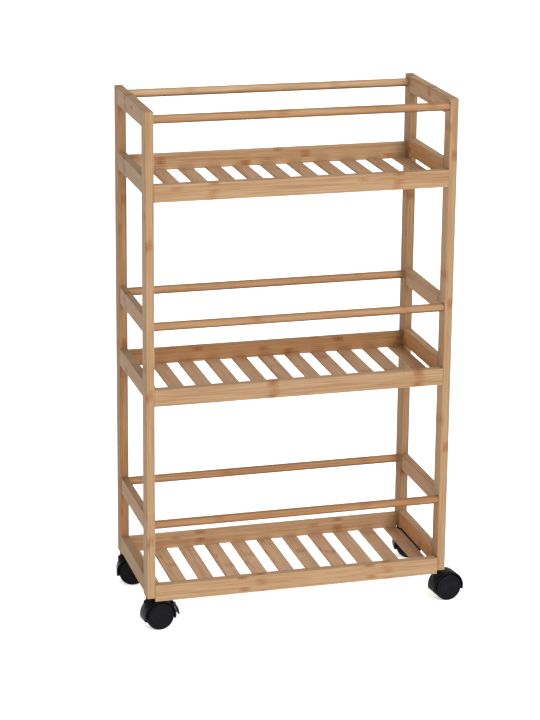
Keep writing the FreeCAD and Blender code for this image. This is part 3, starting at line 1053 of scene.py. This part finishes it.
@dataclass
class SlatDeck:
    """The slats of one tray, in one piece of mesh."""

    level: Level
    count: int = 11
    width: float = 22.0 * MM
    edge: float = 0.6 * MM
    edge_steps: int = 3
    notch_room: float = 0.2 * MM
    notch_height: float = 0.05

    @property
    def node(self) -> str:
        """The CAD node that the deck stands for."""
        return f"slats_{self.level.value}"

    def build(self) -> bpy.types.Object:
        """Make the row of slats, with the outer two notched round the posts.

        Returns:
            The dressed deck.
        """
        low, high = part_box(self.node)
        size, middle = high - low, (low + high) * HALF
        recipe = Recipe(f"slat_row_{self.level.value}")
        web = recipe.web
        pitch = recipe.input("Pitch", "Float", (size.x - self.width) / (self.count - 1))
        count = recipe.input("Count", "Int", self.count)
        first = recipe.input("First slat", "Vector", (low.x + self.width * HALF, middle.y, middle.z))
        profile = web.add("GeometryNodeCurvePrimitiveQuadrilateral", {
            "Width": recipe.input("Slat width", "Float", self.width),
            "Height": recipe.input("Slat thickness", "Float", size.z)})
        soft = web.add("GeometryNodeFilletCurve", {
            "Curve": profile.outputs[0], "Radius": recipe.input("Edge radius", "Float", self.edge),
            "Count": self.edge_steps}, mode="POLY")
        length = recipe.input("Slat length", "Float", size.y)
        line = web.add("GeometryNodeCurvePrimitiveLine", {
            "Start": web.vector(0.0, web.calc("MULTIPLY", length, -HALF), 0.0),
            "End": web.vector(0.0, web.calc("MULTIPLY", length, HALF), 0.0)})
        bar = web.add("GeometryNodeCurveToMesh", {"Curve": line.outputs[0], "Profile Curve": soft.outputs[0],
                                                  "Fill Caps": True})
        points = web.add("GeometryNodeMeshLine", {"Count": count, "Start Location": first,
                                                  "Offset": web.vector(pitch, 0.0, 0.0)})
        row = web.add("GeometryNodeInstanceOnPoints", {"Points": points.outputs[0],
                                                       "Instance": bar.outputs[0]})
        real = web.add("GeometryNodeRealizeInstances", {0: row.outputs[0]})
        cut = web.add("GeometryNodeMeshBoolean", {0: real.outputs[0]}, operation="DIFFERENCE", solver="EXACT")
        web.feed(cut.inputs[1], self._post_corners(recipe))
        finish = Finishes.LIT_LOW_SLAT if self.level is Level.BOTTOM else Finishes.SLAT
        made = recipe.made(f"slat_deck_{self.level.value}", cut.outputs[0], finish.material())
        return placed(made, "root", [self.node])

    def _post_corners(self, recipe: Recipe) -> Socket:
        """Blocks in the places of the four posts, a little larger than they are.

        Args:
            recipe: the deck's recipe.

        Returns:
            The blocks' geometry.
        """
        left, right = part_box("post_front_left"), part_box("post_rear_right")
        low, high = left[0], right[1]
        middle = (low + high) * HALF
        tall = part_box(self.node)
        room = 2.0 * self.notch_room
        thick = left[1].x - left[0].x + room
        deep = left[1].y - left[0].y + room
        web = recipe.web
        size = recipe.input("Post room", "Vector", (thick, deep, self.notch_height))
        block = web.add("GeometryNodeMeshCube", {"Size": size})
        grid = web.add("GeometryNodeMeshGrid", {
            "Size X": recipe.input("Post span", "Float", high.x - low.x - thick + room),
            "Size Y": recipe.input("Post depth span", "Float", high.y - low.y - deep + room),
            "Vertices X": 2, "Vertices Y": 2})
        place = recipe.input("Posts' middle", "Vector", (middle.x, middle.y, (tall[0].z + tall[1].z) * HALF))
        moved = web.add("GeometryNodeTransform", {"Geometry": grid.outputs[0], "Translation": place})
        blocks = web.add("GeometryNodeInstanceOnPoints", {"Points": moved.outputs[0],
                                                          "Instance": block.outputs[0]})
        return web.add("GeometryNodeRealizeInstances", {0: blocks.outputs[0]}).outputs[0]


@dataclass
class SlatBrads:
    """The brads that hold the slat ends, on all three trays."""

    count: int = 11
    head_radius: float = 1.4 * MM
    head_thick: float = 0.6 * MM
    head_taper: float = 0.82
    shank_radius: float = 0.7 * MM
    sides: int = 14

    def build(self) -> bpy.types.Object:
        """Make every brad in one piece of mesh.

        Returns:
            The dressed brads.
        """
        low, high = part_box("slat_brads")
        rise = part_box("slats_middle")[0].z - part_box("slats_bottom")[0].z
        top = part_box("slats_bottom")[0].z
        length = high.z - low.z - rise * 2.0
        middle = (low + high) * HALF
        recipe = Recipe("brad_rows")
        web = recipe.web
        sides = recipe.input("Sides", "Int", self.sides)
        head_thick = recipe.input("Head thickness", "Float", self.head_thick)
        long = recipe.input("Brad length", "Float", length)
        head = web.add("GeometryNodeMeshCone", {
            "Vertices": sides, "Radius Top": recipe.input("Head radius", "Float", self.head_radius),
            "Radius Bottom": recipe.input("Head underside radius", "Float",
                                          self.head_radius * self.head_taper),
            "Depth": head_thick})
        shank = web.add("GeometryNodeMeshCone", {
            "Vertices": sides, "Radius Top": recipe.input("Point radius", "Float", self.shank_radius * HALF),
            "Radius Bottom": recipe.input("Shank radius", "Float", self.shank_radius), "Depth": long})
        both = web.add("GeometryNodeJoinGeometry", {0: head.outputs[0]})
        web.feed(both.inputs[0], shank.outputs[0])
        grid = web.add("GeometryNodeMeshGrid", {
            "Size X": recipe.input("Row length", "Float", high.x - low.x - 2.0 * self.head_radius),
            "Size Y": recipe.input("Row spacing", "Float", high.y - low.y - 2.0 * self.head_radius),
            "Vertices X": recipe.input("Brads in a row", "Int", self.count), "Vertices Y": 2})
        start = recipe.input("Lowest rows", "Vector", (middle.x, middle.y, top))
        moved = web.add("GeometryNodeTransform", {"Geometry": grid.outputs[0], "Translation": start})
        trays = web.add("GeometryNodeMeshLine", {
            "Count": len(Level), "Offset": recipe.input("Tray rise", "Vector", (0.0, 0.0, rise))})
        rows = web.add("GeometryNodeInstanceOnPoints", {"Points": trays.outputs[0],
                                                        "Instance": moved.outputs[0]})
        spots = web.add("GeometryNodeRealizeInstances", {0: rows.outputs[0]})
        brads = web.add("GeometryNodeInstanceOnPoints", {"Points": spots.outputs[0],
                                                         "Instance": both.outputs[0]})
        made = recipe.made("slat_brads_detailed", brads.outputs[0], Finishes.STEEL.material())
        return placed(made, "root", ["slat_brads"])


@dataclass(frozen=True)
class WheelSize:
    """Sizes of a wheel, out from its axis and along the axle."""

    inner: float = 3.0 * MM
    outer: float = 12.0 * MM
    axle_radius: float = 2.03 * MM
    axle_room: float = 0.02 * MM
    axle_cap: float = 0.8 * MM
    hub_radius: float = 5.0 * MM
    rim: float = 3.5 * MM
    tread_inner: float = 17.6 * MM
    disc: float = 2.2 * MM
    ring: float = 15.6 * MM
    ring_wide: float = 0.8 * MM
    ring_deep: float = 0.45 * MM
    boss: float = 6.4 * MM
    boss_rise: float = 0.35 * MM
    lip_round: float = 0.4 * MM
    dish_round: float = 0.8 * MM
    back_round: float = 0.9 * MM
    face_round: float = 1.4 * MM
    mouth_round: float = 0.25 * MM
    fine_round: float = 0.15 * MM
    ribs: int = 6
    rib_thick: float = 1.2 * MM
    rib_inset: float = 1.5 * MM

    def section(self, radius: float) -> Outline:
        """Half section of the wheel: radius, and place along the axle.

        Args:
            radius: the wheel's radius.

        Returns:
            The section's rounded outline.
        """
        inner, outer, hub, fine = self.inner, self.outer, self.hub_radius, self.fine_round
        bore, hollow = self.axle_radius + self.axle_room, radius - self.rim
        cap, floor = outer - self.axle_cap, outer - self.disc
        ring_inner, ring_floor = self.ring - self.ring_wide, outer - self.ring_deep
        sunk = outer - self.boss_rise
        return rounded_outline([
            (0.0, cap, 0.0), (bore, cap, 0.0), (bore, inner, 0.0), (hub, inner, self.lip_round),
            (hub, floor, self.dish_round), (hollow, floor, self.dish_round),
            (hollow, inner, self.lip_round), (radius, inner, self.back_round),
            (radius, outer, self.face_round), (self.ring, outer, self.mouth_round),
            (self.ring, ring_floor, fine), (ring_inner, ring_floor, fine),
            (ring_inner, outer, self.mouth_round), (self.boss + self.boss_rise, outer, fine),
            (self.boss, sunk, fine), (0.0, sunk, 0.0)])


@dataclass(frozen=True)
class BrakeSize:
    """Sizes of a brake lever, its ears and the opening for its cams, round the axle."""

    half: float = 7.5 * MM
    barrel_radius: float = 1.9 * MM
    bore_radius: float = 1.05 * MM
    flap_thick: float = 2.2 * MM
    flap_span: Pair = (math.radians(-4.0), math.radians(36.0))
    flap_tip: float = 30.3 * MM
    flap_root: float = 27.8 * MM
    flap_ease: float = 0.4 * MM
    flap_steps: int = 28
    grip_rise: float = 0.25 * MM
    grip_steps: int = 4
    grip_share: float = 0.7
    ear_radius: float = 2.6 * MM
    ear_room: float = 0.2 * MM
    ear_thick: float = 2.3 * MM
    ear_root: float = 3.6 * MM
    ear_ease: float = 0.35 * MM
    ear_steps: int = 20
    slot_span: Pair = (math.radians(17.0), math.radians(47.0))
    slot_outer: float = 24.15 * MM
    slot_overcut: float = 0.2 * MM
    slot_room: float = 0.15 * MM
    slot_steps: int = 16
    cam_span: Pair = (math.radians(26.0), math.radians(34.0))
    cam_tip: float = 20.9 * MM
    cam_root: float = 26.2 * MM
    cam_gap: float = 3.1 * MM
    cam_round: float = 0.5 * MM


@dataclass
class Caster:
    """One twin-wheel caster: hood, two wheels, and a brake lever on some."""

    corner: Corner
    wheel: WheelSize = WheelSize()
    brake: BrakeSize = BrakeSize()
    hood_radius: float = 23.8 * MM
    well_radius: float = 21.2 * MM
    hood_half: float = 11.6 * MM
    hood_edge: float = 1.1 * MM
    hood_inner_share: float = 0.4
    hood_end: float = 14.5 * MM
    web_half: float = 2.5 * MM
    web_end: float = 11.0 * MM
    web_steps: int = 64
    overlap: float = 0.4 * MM
    neck_radius: float = 5.5 * MM
    neck_foot: float = 8.6 * MM
    neck_bottom: float = 30.0 * MM
    flare_low: float = 41.6 * MM
    flare_high: float = 44.0 * MM
    flare_round: float = 1.2 * MM
    throat_round: float = 1.6 * MM
    neck_round: float = 0.5 * MM
    pin_radius: float = 3.05 * MM
    pin_bottom: float = 39.8 * MM
    steps: int = 96
    wheel_radius: float = field(init=False)
    trail: float = field(init=False)
    neck_top: float = field(init=False)
    to_axle: Matrix = field(init=False)
    at_swivel: Matrix = field(init=False)
    at_axle: Matrix = field(init=False)
    prefix: str = field(init=False)
    has_brake: bool = field(init=False)

    def __post_init__(self) -> None:
        """Read the swivel, the axle and the heading from the joints."""
        name = self.corner.value
        swivel = Vector(joint_named(f"{name}_swivel")["pos_m"])
        spin = joint_named(f"{name}_left_wheel_spin")
        across = Vector(spin["axis"]).normalized()
        trail_way = Vector((across.y, -across.x, 0.0))
        wheel = Vector(spin["pos_m"])
        self.wheel_radius = wheel.z
        self.trail = (wheel - swivel).dot(trail_way)
        self.neck_top = swivel.z
        columns = Matrix((trail_way, across, Vector((0.0, 0.0, 1.0)))).transposed()
        self.to_axle = Matrix.Translation((self.trail, 0.0, self.wheel_radius))
        self.at_swivel = Matrix.Translation((swivel.x, swivel.y, 0.0)) @ columns.to_4x4()
        self.at_axle = self.at_swivel @ self.to_axle
        self.prefix = f"caster_{name}"
        self.has_brake = f"{self.prefix}_brake_lever" in frame["nodes"]

    def build(self) -> None:
        """Make and dress every piece of the caster."""
        self._hood()
        for side, way in (("left", 1.0), ("right", -1.0)):
            self._wheel(side, way)
        for piece in ("stem", "axle") + (("brake_pin",) if self.has_brake else ()):
            dress_node(f"{self.prefix}_{piece}", Finishes.STEEL)
        if self.has_brake:
            self._lever()
        LOG.info("caster %s is done", self.corner.value)

    def _ribs(self, name: str) -> bpy.types.Object:
        """Ribs inside the wheel's dish, from the hub to the rim.

        Args:
            name: the wheel's node.

        Returns:
            The ribs, round the wheel's own axis.
        """
        wheel = self.wheel
        recipe = Recipe(f"{name}_ribs")
        web = recipe.web
        reach = self.wheel_radius - wheel.rim - wheel.hub_radius + 2.0 * self.overlap
        low, high = wheel.inner + wheel.rib_inset, wheel.outer - wheel.disc + self.overlap
        middle = (wheel.hub_radius - self.overlap + reach * HALF, (low + high) * HALF, 0.0)
        size = recipe.input("Rib size", "Vector", (reach, high - low, wheel.rib_thick))
        place = recipe.input("Rib place", "Vector", middle)
        rib = web.add("GeometryNodeMeshCube", {"Size": size})
        moved = web.add("GeometryNodeTransform", {"Geometry": rib.outputs[0], "Translation": place})
        count = recipe.input("Ribs", "Int", wheel.ribs)
        points = web.add("GeometryNodeMeshLine", {"Count": count, "Offset": (0.0, 0.0, 0.0)})
        index = web.add("GeometryNodeInputIndex").outputs[0]
        angle = web.calc("DIVIDE", web.calc("MULTIPLY", index, math.tau), count)
        turn = web.add("FunctionNodeEulerToRotation", {0: web.vector(0.0, angle, 0.0)})
        ring = web.add("GeometryNodeInstanceOnPoints", {
            "Points": points.outputs[0], "Instance": moved.outputs[0], "Rotation": turn.outputs[0]})
        return recipe.made(f"{name}_ribs", ring.outputs[0], Finishes.WHEEL.material())

    def _wheel(self, side: str, way: float) -> None:
        """Make one wheel.

        Args:
            side: left or right.
            way: the way along the axle that its closed face looks.
        """
        node = f"{self.prefix}_{side}_wheel"
        wheel = turned(f"{node}_detailed", self.wheel.section(self.wheel_radius), steps=self.steps)
        combined(wheel, [self._ribs(node)], "UNION")
        self._two_tone(wheel.data)
        if way < 0.0:
            wheel.data.transform(ABOUT_TURN)
        wheel.data.transform(self.at_axle)
        placed(wheel, f"wheel_{self.corner.value}_{side}", [node])

    def _two_tone(self, mesh: bpy.types.Mesh) -> None:
        """Give a wheel, still on its own axis, its disc and its softer tread.

        Args:
            mesh: the wheel's mesh.
        """
        mesh.materials.clear()
        for finish in (Finishes.WHEEL, Finishes.TREAD):
            mesh.materials.append(finish.material())
        for face in mesh.polygons:
            place = face.center
            face.material_index = int(math.hypot(place.x, place.z) > self.wheel.tread_inner)

    def _hood(self) -> None:
        """Make the mudguard with its middle web, its neck and, with a brake, its ears."""
        drop = math.asin((self.wheel_radius - self.hood_end) / self.hood_radius)
        inner, outer, half = self.well_radius, self.hood_radius, self.hood_half
        soft, fine = self.hood_edge, self.hood_edge * self.hood_inner_share
        section = rounded_outline([
            (inner, -half, fine), (outer, -half, soft), (outer, half, soft), (inner, half, fine)])
        guard = turned(f"{self.prefix}_hood_detailed", section, -drop, math.pi + drop, self.steps)
        guard.data.transform(self.to_axle)
        combined(guard, [self._web(), self._neck()], "UNION")
        cuts = [self._well(1.0), self._well(-1.0), self._pin_bore()]
        if self.has_brake:
            combined(guard, self._ears(), "UNION")
            cuts.append(self._slot())
        combined(guard, cuts, "DIFFERENCE")
        guard.data.transform(self.at_swivel)
        placed(guard, f"swivel_{self.corner.value}", [f"{self.prefix}_hood"], Finishes.HOOD)

    def _web(self) -> bpy.types.Object:
        """Middle web between the wheels, with its lower end rounded round the axle.

        Returns:
            The web.
        """
        radius, steps = self.well_radius + self.overlap, self.web_steps
        start = -math.asin((self.wheel_radius - self.web_end) / radius)
        arc = [start + (math.pi - 2.0 * start) * number / steps for number in range(steps + 1)]
        return prism("web", [self._round_axle(radius, angle) for angle in arc], -self.web_half, self.web_half)

    def _neck(self) -> bpy.types.Object:
        """Round neck that flares into the mudguard.

        Returns:
            The upright neck.
        """
        section = rounded_outline([
            (0.0, self.neck_bottom, 0.0), (self.neck_foot, self.neck_bottom, 0.0),
            (self.neck_foot, self.flare_low, self.flare_round),
            (self.neck_radius, self.flare_high, self.throat_round),
            (self.neck_radius, self.neck_top, self.neck_round), (0.0, self.neck_top, 0.0)])
        neck = turned("neck", section, steps=64)
        neck.data.transform(UPRIGHT_TURN)
        return neck

    def _well(self, way: float) -> bpy.types.Object:
        """Space for one wheel, taken out of the hood.

        Args:
            way: the way along the axle that the space opens.

        Returns:
            The space as a solid.
        """
        well = cylinder("well", self.well_radius, self.web_half, self.hood_half * 2.0, steps=self.steps)
        if way < 0.0:
            well.data.transform(ABOUT_TURN)
        well.data.transform(self.to_axle)
        return well

    def _pin_bore(self) -> bpy.types.Object:
        """Bore for the stem's pin, down from the top of the neck.

        Returns:
            The bore as a solid.
        """
        bore = cylinder("bore", self.pin_radius, self.pin_bottom, self.neck_top + MM, steps=48)
        bore.data.transform(UPRIGHT_TURN)
        return bore

    def _pivot(self) -> Vector:
        """The brake lever's pin at rest, in the caster's own frame."""
        place = Vector(joint_named(f"{self.corner.value}_brake")["pos_m"])
        return self.at_swivel.inverted() @ place

    def _ears(self) -> list[bpy.types.Object]:
        """Two ears on the hood that carry the lever's pin.

        Returns:
            The ears.
        """
        brake, pivot = self.brake, self._pivot()
        inward = (Vector((self.trail, 0.0, self.wheel_radius)) - pivot).normalized()
        side = Vector((inward.z, 0.0, -inward.x))
        root = pivot + inward * brake.ear_root
        near = brake.half + brake.ear_room
        ears = []
        for way in (-1.0, 1.0):
            low, high = sorted((way * near, way * (near + brake.ear_thick)))
            points = [root - side * brake.ear_radius, root + side * brake.ear_radius]
            for number in range(brake.ear_steps + 1):
                angle = math.pi * number / brake.ear_steps
                spoke = side * math.cos(angle) - inward * math.sin(angle)
                points.append(pivot + spoke * brake.ear_radius)
            outline = [(point.x, point.z) for point in points]
            ears.append(eased(prism("ear", outline, low, high), brake.ear_ease, steps=2))
        return ears

    def _slot(self) -> bpy.types.Object:
        """Opening in the mudguard behind the lever, for its cams.

        Returns:
            The opening as a solid.
        """
        brake, steps = self.brake, self.brake.slot_steps
        low, high = brake.slot_span
        inner, half = self.well_radius - brake.slot_overcut, brake.half + brake.slot_room
        angles = [low + (high - low) * number / steps for number in range(steps + 1)]
        outline = [self._round_axle(brake.slot_outer, angle) for angle in angles]
        outline += [self._round_axle(inner, angle) for angle in reversed(angles)]
        return prism("slot", outline, -half, half)

    def _lever(self) -> None:
        """Make the brake lever: barrel, cams, and a flared flap with grip ribs."""
        brake, at_pin = self.brake, Matrix.Translation(self._pivot())
        flap = self._flap()
        barrel = cylinder("barrel", brake.barrel_radius, -brake.half, brake.half, steps=40)
        barrel.data.transform(at_pin)
        combined(flap, [barrel, *self._cams()], "UNION")
        reach = brake.half * 2.0
        bore = cylinder("bore", brake.bore_radius, -reach, reach, steps=32)
        bore.data.transform(at_pin)
        combined(flap, [bore], "DIFFERENCE")
        flap.data.transform(self.at_swivel)
        placed(flap, f"brake_{self.corner.value}", [f"{self.prefix}_brake_lever"], Finishes.LEVER)

    def _flap(self) -> bpy.types.Object:
        """Curved flap that flares away from the mudguard, ribbed on its outer face.

        Returns:
            The flap.
        """
        brake, steps = self.brake, self.brake.flap_steps
        low, high = brake.flap_span
        outer, inner = [], []
        for number in range(steps + 1):
            share = number / steps
            angle = low + (high - low) * share
            radius = brake.flap_tip + (brake.flap_root - brake.flap_tip) * share ** HALF
            on_grip = number % brake.grip_steps in (1, 2) and number < steps * brake.grip_share
            outer.append(self._round_axle(radius + (brake.grip_rise if on_grip else 0.0), angle))
            inner.append(self._round_axle(radius - brake.flap_thick, angle))
        flap = prism(f"{self.prefix}_brake_lever_detailed", outer + inner[::-1], -brake.half, brake.half)
        return eased(flap, brake.flap_ease)

    def _round_axle(self, radius: float, angle: float) -> Pair:
        """Point in the XZ plane at a distance and angle round the axle."""
        return self.trail + radius * math.cos(angle), self.wheel_radius + radius * math.sin(angle)

    def _cams(self) -> list[bpy.types.Object]:
        """Two cams under the barrel that press on the wheels.

        Returns:
            The cams.
        """
        brake = self.brake
        low, high = brake.cam_span
        outline = rounded_outline([
            (*self._round_axle(brake.cam_tip, low), brake.cam_round),
            (*self._round_axle(brake.cam_root, low), 0.0), (*self._round_axle(brake.cam_root, high), 0.0),
            (*self._round_axle(brake.cam_tip, high), brake.cam_round)])
        spans = [sorted((way * brake.cam_gap, way * brake.half)) for way in (-1.0, 1.0)]
        return [prism("cam", outline, low, high) for low, high in spans]


# ---------------------------------------------------------------- studio
@dataclass
class Studio:
    """Pale, faintly lit table, soft lights and the camera."""

    camera_offset: tuple[float, float, float] = (-0.9108, -3.2035, 1.3901)
    heading: float = 16.42
    tilt: float = 15.78
    roll: float = 0.782
    lens: float = 120.87
    shift: tuple[float, float] = (-0.0486, -0.0846)
    floor_half: float = 40.0
    floor_tone: Colour = grey(0.96)
    floor_rough: float = 0.75
    floor_glow: float = 0.55
    sky_tone: Colour = grey(1.0)
    sky_strength: float = 0.77
    key_from: tuple[float, float, float] = (0.35, -1.0, 0.85)
    key_strength: float = 2.2
    key_spread: float = 50.0

    def build(self) -> None:
        """Set up everything that isn't the cart."""
        self._floor()
        self._sky()
        self._key()
        self._camera()
        bpy.context.scene.view_settings.view_transform = "Standard"

    def _middle(self) -> Vector:
        """Point on the floor between the four posts."""
        first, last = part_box("post_front_left")[0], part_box("post_rear_right")[1]
        return Vector(((first.x + last.x) * HALF, (first.y + last.y) * HALF, 0.0))

    def _floor(self) -> None:
        """Plain pale floor that runs out of sight."""
        half, tone = self.floor_half, opaque(self.floor_tone)
        body = bmesh.new()
        corners = ((-half, -half), (half, -half), (half, half), (-half, half))
        body.faces.new([body.verts.new((x, y, 0.0)) for x, y in corners])
        floor = new_object("studio_floor", body)
        made = bpy.data.materials.new("studio_floor")
        made.use_nodes = True
        shader = made.node_tree.nodes["Principled BSDF"]
        for name, value in (("Base Color", tone), ("Roughness", self.floor_rough),
                            ("Emission Color", tone), ("Emission Strength", self.floor_glow)):
            shader.inputs[name].default_value = value
        floor.data.materials.append(made)

    def _sky(self) -> None:
        """Even white surroundings."""
        world = bpy.data.worlds.new("studio")
        world.use_nodes = True
        background = world.node_tree.nodes["Background"]
        background.inputs["Color"].default_value = opaque(self.sky_tone)
        background.inputs["Strength"].default_value = self.sky_strength
        bpy.context.scene.world = world

    def _key(self) -> None:
        """One wide, far and soft key light, so that all three trays and the floor get the same."""
        data = bpy.data.lights.new("key_light", "SUN")
        data.energy = self.key_strength
        data.angle = math.radians(self.key_spread)
        lamp = linked("key_light", data)
        lamp.rotation_euler = (-Vector(self.key_from)).to_track_quat("-Z", "Y").to_euler()

    def _camera(self) -> None:
        """Camera at the cart's left front, a little above it."""
        data = bpy.data.cameras.new("camera")
        data.lens = self.lens
        data.shift_x, data.shift_y = self.shift
        data.dof.use_dof = False
        camera = linked("camera", data)
        place = Matrix.Translation(self._middle() + Vector(self.camera_offset))
        turn = Matrix.Rotation(-math.radians(self.heading), 4, "Z")
        nod = Matrix.Rotation(math.radians(RIGHT_ANGLE - self.tilt), 4, "X")
        lean = Matrix.Rotation(math.radians(self.roll), 4, "Z")
        camera.matrix_world = place @ turn @ nod @ lean
        bpy.context.scene.camera = camera


# ---------------------------------------------------------------- whole cart
def main() -> None:
    """Build the cart's looks, piece by piece, and report each one."""
    logging.basicConfig(level=logging.INFO, format="%(name)s: %(message)s")
    Studio().build()
    BambooFrame().dress()
    for level in Level:
        SlatDeck(level).build()
    SlatBrads().build()
    for corner in Corner:
        Caster(corner).build()


if __name__ == "__main__":
    main()
